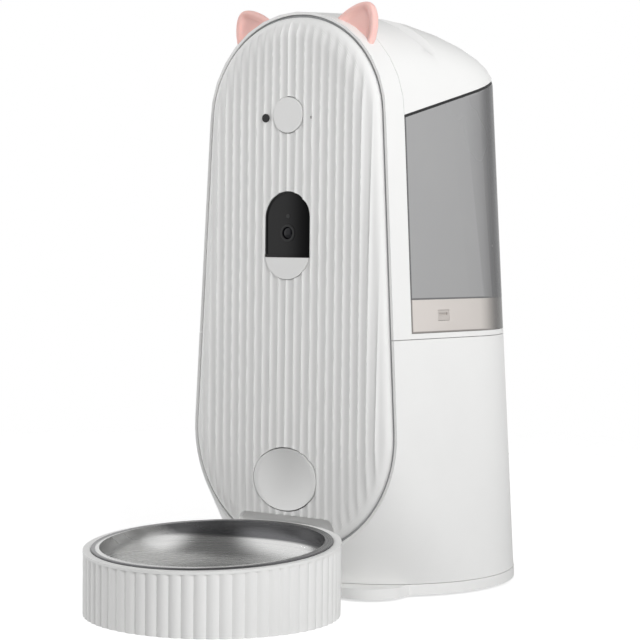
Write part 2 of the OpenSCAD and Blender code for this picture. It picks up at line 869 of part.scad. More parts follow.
// Black camera body that fills the window above the pad
module camera_body() color(black) place() {
    shelf_t = 1.7;
    rim_t = 1.1;
    flange = 2;
    difference() {
        union() {
            plate_xz(cam_face, inner_y + 2.6) camera_part(-0.15, pad_top + 0.3, panel_top);
            plate_xz(face_y + 0.4, cam_face + 1) camera_part(-0.15, pad_top + 0.3, pad_top + 0.3 + shelf_t);
            plate_xz(back_y + run_gap, -1) camera_part(flange, pad_top + 0.3, panel_top);
        }
        // Sunken glass inside a thin rim
        plate_xz(face_y - 1, glass_y) camera_part(-rim_t, pad_top + 0.3 + shelf_t, panel_top);
        bar_y(face_y - 1, glass_y + 1.2, lens_d / 2 + run_gap, 0, lens_z);
        bar_y(face_y - 1, glass_y + 1, light_d / 2 + run_gap, 0, light_z);
    }
}

module lens_ring() color(black) place() {
    difference() {
        bar_y(glass_y - 0.7, glass_y + 1.2, lens_d / 2, 0, lens_z);
        bar_y(face_y, glass_y + 3, lens_d / 2 - 1.45, 0, lens_z);
    }
}

module camera_lens() color([0.02, 0.02, 0.03]) place() {
    intersection() {
        translate([0, glass_y + 5.4, lens_z]) sphere(r = 6.4);
        bar_y(face_y, glass_y + 1.2, lens_d / 2 - 1.5, 0, lens_z);
    }
}

module status_light() color(grey) place() {
    bar_y(glass_y - 0.2, glass_y + 1, light_d / 2, 0, light_z);
}

module camera_pad() color(white) place() {
    plate_xz(face_y + 0.2, back_y + 1) camera_part(-0.15, 0, pad_top);
    plate_xz(back_y + run_gap, back_y + 2) camera_part(2, 0, pad_top);
}

// Dished outlet door that swings inwards from its top edge
module outlet_door() color(white) place() {
    dish_r = (pow(door_h / 2, 2) + pow(dish_d, 2)) / (2 * dish_d) + 5;
    dish_t = 1.8;
    difference() {
        union() {
            intersection() {
                union() {
                    plate_xz(door_y, door_y + door_rim) door_outline(0);
                    translate([0, door_y + dish_d + dish_t - dish_r, door_z]) intersection() {
                        sphere(r = dish_r, $fn = 96);
                        bar_y(0, 2 * dish_r, door_w / 2 - 1, 0, 0);
                    }
                }
                plate_xz(door_y, door_y + 2 * dish_d) door_outline(0);
            }
            // Knuckle behind the top edge
            bar_x(-door_knuckle, door_knuckle, door_knuckle_r, hinge_y, hinge_z);
            wide(20, door_y + 2, hinge_y, hinge_z - 2.2, hinge_z + 1);
        }
        translate([0, door_y + dish_d - dish_r, door_z]) sphere(r = dish_r, $fn = 96);
        bar_x(-door_w, door_w, door_pin_r + run_gap, hinge_y, hinge_z);
    }
}

module door_pin() color(steel) place() {
    l = door_knuckle + door_lug + 0.4;
    bar_x(-l, l, door_pin_r, hinge_y, hinge_z);
}

// Chute from under the rotor forward to the outlet, grown by o
module chute_form(o) {
    hull() {
        wide(chute_w + 2 * o, drop_y0 - o, drop_y1 + o, drop_z - 1, drop_z - seat_gap);
        wide(mouth_w + 2 * o, -2, -1, mouth_z0 - o, mouth_z1 + o);
    }
}

module food_chute() color(shade) place() {
    difference() {
        chute_form(chute_t);
        chute_form(0);
        wide(big, drop_y0 - chute_t - seat_gap, big, drop_z - seat_gap, big);
        wide(mouth_w, -3, 0, mouth_z0, mouth_z1);
        wide(chute_w, drop_y0, drop_y1, drop_z - 1.5, big);
    }
}

// Case round the rotor, on two legs
module rotor_case() color(shade) place() {
    outer_w = case_w + case_t;
    throat = throat_d / 2;
    leg_t = 3.2;
    difference() {
        union() {
            bar_x(-outer_w, outer_w, case_r, rotor_y, rotor_z);
            wide(rotor_l + 2 * case_t, rotor_y - throat - case_t, rotor_y + throat + case_t, rotor_z, neck_top);
            wide(chute_w + 2 * chute_t, drop_y0 - chute_t, drop_y1 + chute_t, drop_z, rotor_z);
            both_sides() box(outer_w - leg_t, outer_w, rotor_y - 12, rotor_y + 20, base_top, rotor_z);
        }
        bar_x(-case_w, case_w, case_in, rotor_y, rotor_z);
        wide(rotor_l, rotor_y - throat, rotor_y + throat, rotor_z, neck_top + 1);
        wide(chute_w, drop_y0, drop_y1, drop_z - 1, rotor_z);
        bar_x(-outer_w - 1, outer_w + 1, axle_d / 2 + run_gap, rotor_y, rotor_z);
    }
}

// Soft-tipped rotor that carries one portion in each bay, one bay upright at rest
module rotor_profile() {
    hub_r = axle_d / 2 + 6;
    vane_t = 2.6;
    tip_r = 2.2;
    tip_at = rotor_r - tip_r - 0.4;
    difference() {
        union() {
            circle(hub_r);
            for (i = [0 : rotor_vanes - 1]) rotate((i + 0.5) * 360 / rotor_vanes) {
                translate([hub_r - 2, -vane_t / 2]) square([tip_at - hub_r + 2, vane_t]);
                translate([tip_at, 0]) circle(tip_r, $fn = 24);
            }
        }
        circle(axle_d / 2);
    }
}

module feed_rotor() color(grey) place() {
    translate([0, rotor_y, rotor_z]) rotate([0, 90, 0]) linear_extrude(rotor_l, center = true) rotor_profile();
}

// Axle with a flat at the motor end
module rotor_shaft() color(steel) place() {
    end_x = plate_x + plate_t + 6;
    difference() {
        bar_x(-case_w - case_t + 0.5, end_x, axle_d / 2, rotor_y, rotor_z);
        box(plate_x + plate_t + 0.5, end_x + 1, rotor_y - axle_d, rotor_y + axle_d,
            rotor_z + axle_d / 2 - 1, rotor_z + axle_d);
    }
}

module gear_motor() color(grey) place() {
    x0 = plate_x + plate_t;
    difference() {
        union() {
            bar_x(x0, x0 + 14, 16, rotor_y, rotor_z);
            bar_x(x0 + 14, x0 + 28, 12, rotor_y, rotor_z);
        }
        bar_x(x0 - 1, x0 + 8, axle_d / 2 + 0.06, rotor_y, rotor_z);
    }
}

// Plate and three posts that hold the motor to the case
module motor_bracket() color(shade) place() {
    post_at = 20;
    post_r = 3;
    difference() {
        union() {
            bar_x(plate_x, plate_x + plate_t, post_at + 4, rotor_y, rotor_z);
            for (a = [90, 210, 330])
                bar_x(case_w + case_t, plate_x + 1, post_r, rotor_y + post_at * cos(a), rotor_z + post_at * sin(a));
        }
        bar_x(plate_x - 1, plate_x + plate_t + 1, axle_d / 2 + 5, rotor_y, rotor_z);
    }
}

// Main board on posts behind the front wall
board_w = 88;
board_h = 50;
board_t = 1.6;
board_y = inner_y + 4.6;
board_z = seam_z - 6 - board_h;
board_posts = [for (x = [-1, 1], z = [4, board_h - 4]) [x * (board_w / 2 - 4), board_z + z]];

module main_board() color(green) place() {
    top = board_y + board_t;
    wide(board_w, board_y, top, board_z, board_z + board_h);
    wide(24, top, top + 1.8, board_z + 18, board_z + 36);
    box(20, 32, top, top + 4.4, board_z + 6, board_z + 14);
    box(-36, -26, top, top + 2.4, board_z + 6, board_z + 24);
}

module speaker() color(black) place() {
    x = -mouth_w / 2 - 23.5;
    z = door_z + 16;
    bar_y(inner_y, inner_y + 3.6, 18, x, z);
    bar_y(inner_y + 3.6, inner_y + 8.6, 11, x, z);
}

// Power inlet low in the back wall
inlet_w = 12;
inlet_h = 8;
inlet_z = base_top + 11.5;

module power_inlet() color(black) place() {
    back = rear_cy + cone_r(inlet_z);
    flange = 3;
    difference() {
        union() {
            wide(inlet_w, back - 12, back - 0.6, inlet_z - inlet_h / 2, inlet_z + inlet_h / 2);
            wide(inlet_w + 2 * flange, back - 8, back - wall - 1.1,
                inlet_z - inlet_h / 2 - flange, inlet_z + inlet_h / 2 + flange);
        }
        bar_y(back - 9, back + 2, 2.7, 0, inlet_z);
    }
    bar_y(back - 10, back - 2, 0.9, 0, inlet_z);
}

// Plan of the reeded bowl holder
module holder_plan() {
    n = holder_reeds * 6;
    polygon([for (i = [0 : n - 1])
        let (t = (i % 6) / 6 - 0.5, r = holder_r - reed_cut * 4 * t * t, a = 360 * i / n)
        [r * cos(a), r * sin(a)]]);
}

// Puts a shape on the slanting rim of the bowl holder
module on_rim() {
    translate([0, 0, holder_h]) rotate([bowl_tilt, 0, 0]) children();
}

// Bowl holder with a slanting rim and a channel for the base plate's arm
module bowl_holder() color(white) place() translate([0, -bowl_y, 0]) {
    lip_h = 1.6;
    channel_w = arm_w + 2 * gap;
    channel_z = foot_h + arm_t + gap;
    difference() {
        union() {
            intersection() {
                linear_extrude(holder_h + 20) holder_plan();
                on_rim() wide(big, -big, big, -big, -lip_h);
            }
            intersection() {
                translate([0, 0, holder_h / 2]) cylinder(r = holder_r + 0.1, h = 60, $fn = 132);
                on_rim() wide(big, -big, big, -lip_h, 0);
            }
        }
        on_rim() {
            translate([0, 0, -0.45]) cylinder(r = flange_r + gap, h = 20, $fn = 132);
            translate([0, 0, -18]) cylinder(r = flange_r - 2.2, h = 40, $fn = 132);
        }
        translate([0, 0, holder_floor]) cylinder(r = flange_r - 3.6, h = 40, $fn = 132);
        wide(channel_w, bowl_y + arm_y, big, -1, channel_z);
        translate([0, bowl_y + arm_y, -1]) cylinder(d = channel_w, h = channel_z + 1);
    }
}

// Pressed steel bowl with a flat flange
module steel_bowl() color(steel) place() translate([0, -bowl_y, 0]) on_rim() {
    edge = 0.4;
    top = flange_t - 0.1;
    inner = bowl_curve(flange_r - flange_w - edge, top, bowl_d);
    outer = bowl_curve(flange_r - flange_w - edge + steel_t, -0.1, bowl_d);
    n = len(outer) - 1;
    rim = [[flange_r, -0.1], [flange_r, top - edge], [flange_r - edge, top]];
    rotate_extrude($fn = 132) polygon(concat(inner, [for (i = [n : -1 : 0]) outer[i]], rim));
}

base_plate();
rubber_feet();
base_screws();
lower_housing();
upper_housing();
panel_gasket();
front_panel();
left_ear();
right_ear();
hopper_tank();
tank_foot();
tank_seal();
tank_clips();
hopper_funnel();
lid();
lid_hinge_pin();
desiccant_box();
desiccant_cap();
feed_button();
button_switch();
light_sensor();
microphone();
camera_body();
lens_ring();
camera_lens();
status_light();
camera_pad();
outlet_door();
door_pin();
food_chute();
rotor_case();
feed_rotor();
rotor_shaft();
gear_motor();
motor_bracket();
main_board();
speaker();
power_inlet();
bowl_holder();
steel_bowl();
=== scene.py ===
"""Looks of the automatic pet feeder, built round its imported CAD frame. Metres, Z up, front towards -Y."""
import json
import math

import bmesh
import bpy
import numpy as np
from mathutils import Matrix, Vector
from mathutils.bvhtree import BVHTree


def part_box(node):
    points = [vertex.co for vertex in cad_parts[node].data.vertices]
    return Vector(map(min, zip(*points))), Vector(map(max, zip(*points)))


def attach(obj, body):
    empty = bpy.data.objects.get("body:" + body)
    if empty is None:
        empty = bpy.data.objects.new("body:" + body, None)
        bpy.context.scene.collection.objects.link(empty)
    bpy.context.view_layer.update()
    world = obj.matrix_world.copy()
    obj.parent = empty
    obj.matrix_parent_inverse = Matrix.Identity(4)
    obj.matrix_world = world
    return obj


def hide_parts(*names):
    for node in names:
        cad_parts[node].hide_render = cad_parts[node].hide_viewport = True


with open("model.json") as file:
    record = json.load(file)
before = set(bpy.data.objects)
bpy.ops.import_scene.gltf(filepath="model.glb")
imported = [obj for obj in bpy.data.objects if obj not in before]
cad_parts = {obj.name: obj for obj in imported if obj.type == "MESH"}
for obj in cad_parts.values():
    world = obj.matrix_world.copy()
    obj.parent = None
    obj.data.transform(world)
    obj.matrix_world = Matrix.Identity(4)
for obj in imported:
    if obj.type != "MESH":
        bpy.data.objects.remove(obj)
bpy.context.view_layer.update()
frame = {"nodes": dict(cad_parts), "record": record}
scene = bpy.context.scene
MM = 0.001
# Depths in the CAD count from the panel's rim plane, which lies this far from the middle of the object
RIM_Y = -15.25


# Camera at the photograph's place, in degrees round from the front, below the level and of roll, with its
# frame shifted as the picture was cropped
CAMERA_PLACE = (0.70275, -1.00184, 0.22435)
CAMERA_TURN, CAMERA_DIP, CAMERA_ROLL = 35.362, 3.856, 0.574
camera = bpy.data.cameras.new("camera")
camera.lens, camera.sensor_width = 107.98, 36
camera.shift_x, camera.shift_y = 0.0349, 0.0779
viewer = bpy.data.objects.new("camera", camera)
turn = Matrix.Rotation(math.radians(CAMERA_TURN), 4, "Z")
pitch = Matrix.Rotation(math.radians(90 - CAMERA_DIP), 4, "X")
roll = Matrix.Rotation(math.radians(CAMERA_ROLL), 4, "Z")
viewer.rotation_euler = (turn @ pitch @ roll).to_euler()
viewer.location = CAMERA_PLACE
scene.collection.objects.link(viewer)
scene.camera = viewer


def linear(hex_colour):
    """sRGB hex to a linear RGBA colour."""
    parts = [int(hex_colour[i:i + 2], 16) / 255 for i in (1, 3, 5)]
    return [c / 12.92 if c <= 0.04045 else ((c + 0.055) / 1.055) ** 2.4 for c in parts] + [1.0]


def add(tree, kind, values=None, links=None, **settings):
    """Adds one node: settings are its properties, values and links go to its input sockets."""
    made = tree.nodes.new("ShaderNode" + kind)
    for key, value in settings.items():
        setattr(made, key, value)
    for key, value in (values or {}).items():
        made.inputs[key].default_value = value
    for key, source in (links or {}).items():
        tree.links.new(source, made.inputs[key])
    return made


def start(name):
    """A new material: its tree, its Principled shader and its Object coordinates."""
    material = bpy.data.materials.new(name)
    material.use_nodes = True
    tree = material.node_tree
    return material, tree, tree.nodes["Principled BSDF"], add(tree, "TexCoord").outputs["Object"]


def dress(tree, skin, patterns, **values):
    """Brings patterns to a material's shader, and sets there what is the same all over."""
    for key, source in patterns.items():
        tree.links.new(source, skin.inputs[key])
    for key, value in values.items():
        skin.inputs[key.replace("_", " ")].default_value = value


def per_metre(size_mm):
    """Texture scale at which one feature of a noise is about size_mm across."""
    return 1000 / size_mm


def clouded(tree, place, colour, shade, size_mm, detail):
    """Two colours that mix in soft clouds of about size_mm: the mixed colour, and the clouds."""
    clouds = add(tree, "TexNoise", {"Scale": per_metre(size_mm), "Detail": detail}, {"Vector": place})
    tint = add(tree, "Mix", {"A": linear(colour), "B": linear(shade)}, {"Factor": clouds.outputs["Fac"]},
               data_type="RGBA")
    return tint.outputs["Result"], clouds.outputs["Fac"]


# Sizes of the patterns, in millimetres: clouds of flow in a moulding, in a tank wall and in acrylic, smears on
# steel, fibres of paper, and the grit of a tool, which is drawn coarser than it is, so that it shows
FLOW_MM, TANK_FLOW_MM, ACRYLIC_FLOW_MM, SMEAR_MM, FIBRE_MM, GRIT_MM = 38, 45, 20, 26, 3, 0.9
# How high the grit and a lathe's rings stand
GRIT_HEIGHT, RING_HEIGHT = 0.1, 0.05
# Darker grey for steel beyond a given radius, and half the width in which the steel turns into it
DARKER_STEEL, DARKENING_HALF_WIDTH = "#757577", 0.3
# Tank walls: where they begin to darken and are darkest as they turn away, which is painted shade (on the
# smoked tank it also stands for the longer way through the tint), how dark the painted shadow in the gap at
# their front and foot is, and how far from the edge each such shadow begins and is full
TURN_BEGINS, TURN_FULL, GAP_SHADOW_DARK = 0.35, 0.72, 0.7
FRONT_GAP_SHADOW, FOOT_GAP_SHADOW = (1.6, 0.8), (1.4, 0.7)
# Radius of the camera window's dome
WINDOW_DOME = 65


def moulded(name, colour, shade, rough, relief=0.05, **values):
    """A moulded plastic or rubber: colour and shade mix in soft clouds, as flow in the mould leaves them,
    and the grit of the tool's skin gives fine relief and an uneven gloss."""
    material, tree, skin, place = start(name)
    tint = clouded(tree, place, colour, shade, FLOW_MM, 3.0)[0]
    grit = add(tree, "TexNoise", {"Scale": per_metre(GRIT_MM), "Detail": 2.0}, {"Vector": place})
    gloss = add(tree, "MapRange", {"To Min": rough - 0.05, "To Max": rough + 0.05},
                {"Value": grit.outputs["Fac"]})
    bump = add(tree, "Bump", {"Strength": relief, "Distance": GRIT_HEIGHT * MM},
               {"Height": grit.outputs["Fac"]})
    dress(tree, skin, {"Base Color": tint, "Roughness": gloss.outputs["Result"],
                       "Normal": bump.outputs["Normal"]}, IOR=1.5, **values)
    return material


def turned_steel(name, colour, shade, rough, groove_mm, relief, axis_y=0.0, tilt_deg=0.0, streak=0.0,
                 darker_from=None, metal=1.0):
    """Spun or turned steel: fine rings round an axis that leans by tilt_deg at depth axis_y. The rings stretch
    reflections across them by the share streak. Beyond a given outer radius its colour turns a darker grey, and
    a metal under 1 stands for the fine scratches that scatter light."""
    material, tree, skin, place = start(name)
    centred = add(tree, "Mapping", {"Location": (0, -axis_y, 0)}, {"Vector": place})
    level = add(tree, "Mapping", {"Rotation": (-math.radians(tilt_deg), 0, 0)},
                {"Vector": centred.outputs["Vector"]})
    flat = add(tree, "VectorMath", {1: (1, 1, 0)}, {0: level.outputs["Vector"]}, operation="MULTIPLY")
    radius = add(tree, "VectorMath", None, {0: flat.outputs["Vector"]}, operation="LENGTH")
    rings = add(tree, "TexNoise", {"Scale": per_metre(groove_mm), "Detail": 2.0},
                {"W": radius.outputs["Value"]}, noise_dimensions="1D")
    tint = clouded(tree, place, colour, shade, SMEAR_MM, 3.0)[0]
    gloss = add(tree, "MapRange", {"To Min": rough - 0.07, "To Max": rough + 0.09},
                {"Value": rings.outputs["Fac"]})
    bump = add(tree, "Bump", {"Strength": relief, "Distance": RING_HEIGHT * MM},
               {"Height": rings.outputs["Fac"]})
    # Darker grey colour beyond the outer radius; only the colour changes, not the gloss
    if darker_from:
        outer = add(tree, "MapRange", {"From Min": (darker_from - DARKENING_HALF_WIDTH) * MM,
                                       "From Max": (darker_from + DARKENING_HALF_WIDTH) * MM},
                    {"Value": radius.outputs["Value"]})
        tint = add(tree, "Mix", {"B": linear(DARKER_STEEL)}, {"A": tint, "Factor": outer.outputs["Result"]},
                   data_type="RGBA").outputs["Result"]
    dress(tree, skin, {"Base Color": tint, "Roughness": gloss.outputs["Result"],
                       "Normal": bump.outputs["Normal"]}, Metallic=metal)
    if streak:
        outwards = add(tree, "VectorMath", None, {0: flat.outputs["Vector"]}, operation="NORMALIZE")
        dress(tree, skin, {"Tangent": outwards.outputs["Vector"]}, Anisotropic=streak)
    return material


def tank_wall(name, node, colour, shade, dark, alpha):
    """A glossy moulded wall of the tank. Its base colour is painted darker where it is seen edge on: painted
    shade, which on the smoked tank also stands for the longer way through the tint. A thin painted shadow
    darkens its front and its foot, where it stands in the gap of the housing."""
    material, tree, skin, place = start(name)
    face, flow = clouded(tree, place, colour, shade, TANK_FLOW_MM, 2.0)
    gloss = add(tree, "MapRange", {"To Min": 0.22, "To Max": 0.3}, {"Value": flow})
    # Painted shade: the base colour darkens where the wall is seen edge on; on the smoked tank it also stands
    # for the longer way through the tint
    slope = add(tree, "LayerWeight", {"Blend": 0.5})
    depth = add(tree, "MapRange", {"From Min": TURN_BEGINS, "From Max": TURN_FULL},
                {"Value": slope.outputs["Facing"]}, interpolation_type="SMOOTHSTEP").outputs["Result"]
    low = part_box(node)[0]
    axes = add(tree, "SeparateXYZ", None, {"Vector": place})
    # Painted shadow: a thin dark band at the wall's front and foot, where it stands in the gap of the housing
    for way, end, (begins, full) in (("Y", low.y, FRONT_GAP_SHADOW), ("Z", low.z, FOOT_GAP_SHADOW)):
        gap_shadow = add(tree, "MapRange", {"From Min": end + begins * MM, "From Max": end + full * MM,
                                      "To Max": GAP_SHADOW_DARK}, {"Value": axes.outputs[way]})
        depth = add(tree, "Math", None, {0: depth, 1: gap_shadow.outputs["Result"]},
                    operation="MAXIMUM").outputs["Value"]
    tint = add(tree, "Mix", {"B": linear(dark)}, {"A": face, "Factor": depth}, data_type="RGBA")
    dress(tree, skin, {"Base Color": tint.outputs["Result"], "Roughness": gloss.outputs["Result"]},
          Alpha=alpha, IOR=1.58, Specular_IOR_Level=0.25)
    return material


def domed_acrylic():
    """Acrylic moulded as a slightly domed window and polished: deep black, and the light of the side that it
    faces fades out across it, because the dome bends away from the left edge."""
    material, tree, skin, place = start("acrylic_black_polished")
    tint = clouded(tree, place, "#0B0B0C", "#080809", ACRYLIC_FLOW_MM, 2.0)[0]
    across = add(tree, "SeparateXYZ", None, {"Vector": place})
    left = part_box("camera_body")[0].x
    reach = add(tree, "Math", {1: left}, {0: across.outputs["X"]}, operation="SUBTRACT").outputs["Value"]
    sag = add(tree, "Math", None, {0: reach, 1: reach}, operation="MULTIPLY")
    dome = add(tree, "Bump", {"Strength": 1.0, "Distance": 1 / (2 * WINDOW_DOME * MM)},
               {"Height": sag.outputs["Value"]}, invert=True)
    dress(tree, skin, {"Base Color": tint, "Normal": dome.outputs["Normal"]},
          Roughness=0.2, Specular_IOR_Level=0.4)
    return material


finishes = {
    # ABS moulded in a fine satin tool: bright white with a soft sheen
    "white_plastic": moulded("abs_white_satin_moulded", "#F4F4F3", "#EFEFEE", 0.5, Specular_IOR_Level=0.12),
    # ABS moulded in a spark-eroded tool: white without shine
    "panel_white": moulded("abs_white_matte_moulded", "#F0F0EF", "#EBEBEA", 0.55, relief=0.08,
                           Specular_IOR_Level=0.3),
    # Polypropylene: a warm, slightly waxy white
    "warm_white": moulded("polypropylene_warm_moulded", "#E0DAD5", "#D8D1CC", 0.5, Specular_IOR_Level=0.2),
    # ABS moulded in a spark-eroded tool: the plain grey of the line round the panel
    "grey_plastic": moulded("abs_grey_matte_moulded", "#B4B5B7", "#A8A9AB", 0.55),
    # Rubber: dull, with more grit than plastic
    "grey_rubber": moulded("rubber_grey_moulded", "#7E7F80", "#747576", 0.75, relief=0.12),
    "black_rubber": moulded("rubber_black_moulded", "#232324", "#1A1A1B", 0.65, relief=0.12),
    # Silicone rubber: soft pink that lets a little light in
    "pink_silicone": moulded("silicone_pink_moulded", "#FBCFC8", "#F7C4BC", 0.55, Subsurface_Weight=0.15,
                             Subsurface_Radius=(0.004, 0.0015, 0.001), Sheen_Weight=0.15),
    # Polycarbonate with a smoke tint: grey, and all but closed to the eye
    "smoked_tank": tank_wall("polycarbonate_smoked_moulded", "hopper_tank", "#AFAFAF", "#AAAAAB", "#3E3E40",
                             alpha=0.93),
    # ABS dyed through: a soft black
    "black_plastic": moulded("abs_black_matte_moulded", "#1B1B1C", "#141415", 0.5),
    # Acrylic: deep black with a polished face
    "black_gloss": domed_acrylic(),
    # Ground and coated glass: almost black, with a sharp shine
    "lens_glass": moulded("glass_dark_coated_ground", "#0A0B14", "#05060A", 0.1, relief=0.0,
                          Specular_IOR_Level=0.35),
    # Steel turned and zinc plated, which is bright, and steel drawn into a can, which is greyer
    "screw_steel": turned_steel("steel_zinc_plated_turned", "#C4C4C6", "#A8A8A9", 0.32, groove_mm=0.6,
                                relief=0.1),
    "motor_steel": turned_steel("steel_drawn_can", "#9B9B9D", "#A8A8A9", 0.4, groove_mm=1.2, relief=0.1),
    # Epoxy board under its mask: green with a dull shine
    "board_green": moulded("epoxy_board_green_masked", "#1E5A38", "#174A2D", 0.4),
    # Stainless steel spun in a lathe: satin, with faint rings round the bowl, wider than real ones, to show
    "bowl_steel": turned_steel("stainless_steel_spun_satin", "#E6E6E5", "#DCDCDB", 0.26, groove_mm=1.1,
                               relief=0.06, axis_y=(RIM_Y - 83) * MM, tilt_deg=3.3, streak=0.6, darker_from=68.6,
                               metal=0.93),
}
# Nodes that look unlike the rest of their slot: the tank's foot and clips of warm plastic, the foot with
# painted shadow in the gaps round it and painted shade where it is seen edge on, a lamp's smoked window and a
# microphone's blackened mesh
own_looks = {
    "tank_foot": tank_wall("polypropylene_warm_glossy_moulded", "tank_foot", "#E0DAD5", "#D8D1CC", "#4A4744",
                           alpha=1.0),
    "tank_clips": moulded("polypropylene_warm_grey_moulded", "#C9C3BE", "#BDB7B2", 0.5,
                          Specular_IOR_Level=0.2),
    "status_light": moulded("acrylic_smoked_moulded", "#1D1D1F", "#151516", 0.3),
    "microphone": moulded("steel_mesh_blackened", "#0E0E0F", "#080809", 0.6, relief=0.2),
}
for part in frame["record"]["subparts"]:
    for slot in frame["nodes"][part["node"]].material_slots:
        slot.link = "OBJECT"
        slot.material = own_looks.get(part["node"], finishes[part["material_slot"]])


# How far apart the loose corners of the CAD's triangles may lie, in millimetres, and where edges stay sharp
WELD, CREASE_DEG = 0.002, 28


def smoothing():
    """Modifier group that joins the CAD's loose triangles and shades them smooth, apart from sharp edges."""
    group = bpy.data.node_groups.new("cad_smoothing", "GeometryNodeTree")
    for way in ("INPUT", "OUTPUT"):
        group.interface.new_socket("Geometry", in_out=way, socket_type="NodeSocketGeometry")
    inlet, outlet = group.nodes.new("NodeGroupInput"), group.nodes.new("NodeGroupOutput")
    weld = group.nodes.new("GeometryNodeMergeByDistance")
    weld.inputs["Distance"].default_value = WELD * MM
    faces = group.nodes.new("GeometryNodeSetShadeSmooth")
    edges = group.nodes.new("GeometryNodeSetShadeSmooth")
    edges.domain = "EDGE"
    angle = group.nodes.new("GeometryNodeInputMeshEdgeAngle")
    limit = group.nodes.new("FunctionNodeCompare")
    limit.operation = "LESS_THAN"
    limit.inputs["B"].default_value = math.radians(CREASE_DEG)
    group.links.new(inlet.outputs[0], weld.inputs["Geometry"])
    group.links.new(weld.outputs["Geometry"], faces.inputs["Geometry"])
    group.links.new(faces.outputs["Geometry"], edges.inputs["Geometry"])
    group.links.new(angle.outputs["Unsigned Angle"], limit.inputs["A"])
    group.links.new(limit.outputs["Result"], edges.inputs["Shade Smooth"])
    group.links.new(edges.outputs["Geometry"], outlet.inputs[0])
    return group


smooth_group = smoothing()
for node in frame["nodes"].values():
    node.modifiers.new("smoothing", "NODES").node_group = smooth_group


def new_piece(name, form, slot=None):
    """An object made of a finished bmesh, in the finish of a material slot."""
    mesh = bpy.data.meshes.new(name)
    form.to_mesh(mesh)
    form.free()
    piece = bpy.data.objects.new(name, mesh)
    scene.collection.objects.link(piece)
    if slot:
        mesh.materials.append(finishes[slot])
    return piece


def sharp_above(piece, degrees):
    """Smooth shading with creases where faces meet at more than this angle."""
    piece.data.shade_smooth()
    piece.data.set_sharp_from_angle(angle=math.radians(degrees))


# Fluted front panel, in millimetres from the CAD: two round ends, a rounded margin, a wall and the flutes,
# which grow to their full depth between two distances from the outline
TOP_R, LOW_R = 64, 75
TOP_Z, LOW_Z = 363.3, 28.3
TOP_C, LOW_C = TOP_Z - TOP_R, LOW_Z + LOW_R
SLOPE = math.asin((LOW_R - TOP_R) / (TOP_C - LOW_C))
BULGE, MARGIN, SKIN = 10, 14, 3
FLUTE_PITCH, FLUTE_DEPTH, FLUTE_GROWTH = 6.1, 1.2, (0.5, 7)
# Its openings: x, z and radius. The window's is parted at its middle, and the dish's is widened.
BUTTON_HOLE, SENSOR_HOLE, SOUND_HOLE = (0, 302.3, 11.55), (-17.3, 300.8, 2.65), (17.3, 300.3, 1.05)
WINDOW_HOLE, WINDOW_PART = (0, 227.3, 17.2), 10.5
DISH_HOLE, DISH_HALF = (0, 73.8, 20.4), 24.7
CUT_FRONT, CUT_BACK = -15, 5
# The recess behind the bowl: its half width, top, foot and corners, the depth of its floor, and its wall
RECESS_HALF, RECESS_TOP, RECESS_LOW, RECESS_CORNER = 36.6, 51.3, 10, 6
RECESS_FLOOR, RECESS_WALL = -4.5, 1.6


def rim_distance(x, z):
    """How far a place on the panel lies inside its outline."""
    side = Vector((math.cos(SLOPE), math.sin(SLOPE)))
    place = Vector((abs(x), z - LOW_C))
    along = place.y * side.x - place.x * side.y
    if along < 0:
        return LOW_R - place.length
    if along > (TOP_C - LOW_C) * side.x:
        return TOP_R - math.hypot(x, z - TOP_C)
    return LOW_R - place.dot(side)


def half_width(z, shrink):
    """Half the width of the outline at height z, with the outline shrunk."""
    if z > TOP_C + TOP_R * math.sin(SLOPE):
        return math.sqrt(max(0, (TOP_R - shrink) ** 2 - (z - TOP_C) ** 2))
    if z < LOW_C + LOW_R * math.sin(SLOPE):
        return math.sqrt(max(0, (LOW_R - shrink) ** 2 - (z - LOW_C) ** 2))
    return (LOW_R - shrink - (z - LOW_C) * math.sin(SLOPE)) / math.cos(SLOPE)


def smooth_step(low, high, value):
    """Rises softly from 0 at low to 1 at high."""
    t = min(1, max(0, (value - low) / (high - low)))
    return t * t * (3 - 2 * t)


def cushion(columns, rows, shrink, flute):
    """Solid with the panel's cushion form, closed at its rim plane: a grid whose lines crowd towards the rim,
    laid in the outline, raised into the cushion and hollowed between the flutes' sharp crests. Its ends stop
    a hair short of the outline's, so that they keep a width."""
    form = bmesh.new()
    bmesh.ops.create_grid(form, x_segments=columns, y_segments=rows, size=1)
    crowd, hair = 0.45 * math.pi, 0.01
    for vert in form.verts:
        across, up = (math.sin(crowd * share) / math.sin(crowd) for share in vert.co.xy)
        z = (TOP_Z + LOW_Z) / 2 + up * ((TOP_Z - LOW_Z) / 2 - shrink - hair)
        x = across * half_width(z, shrink)
        inside = max(0, rim_distance(x, z) - shrink)
        rise = min(1, inside / MARGIN)
        depth = (BULGE - shrink) * math.sqrt(1 - (1 - rise) ** 2)
        to_crest = 2 * abs(x / FLUTE_PITCH - round(x / FLUTE_PITCH))
        depth -= flute * (1 - (1 - to_crest) ** 3) * smooth_step(*FLUTE_GROWTH, inside)
        at_rim = any(abs(abs(share) - 1) < 1e-6 for share in vert.co.xy)
        vert.co = Vector((x, RIM_Y - (0 if at_rim else depth), z)) * MM
    bmesh.ops.edgeloop_fill(form, edges=[edge for edge in form.edges if edge.is_boundary])
    bmesh.ops.recalc_face_normals(form, faces=form.faces)
    return form


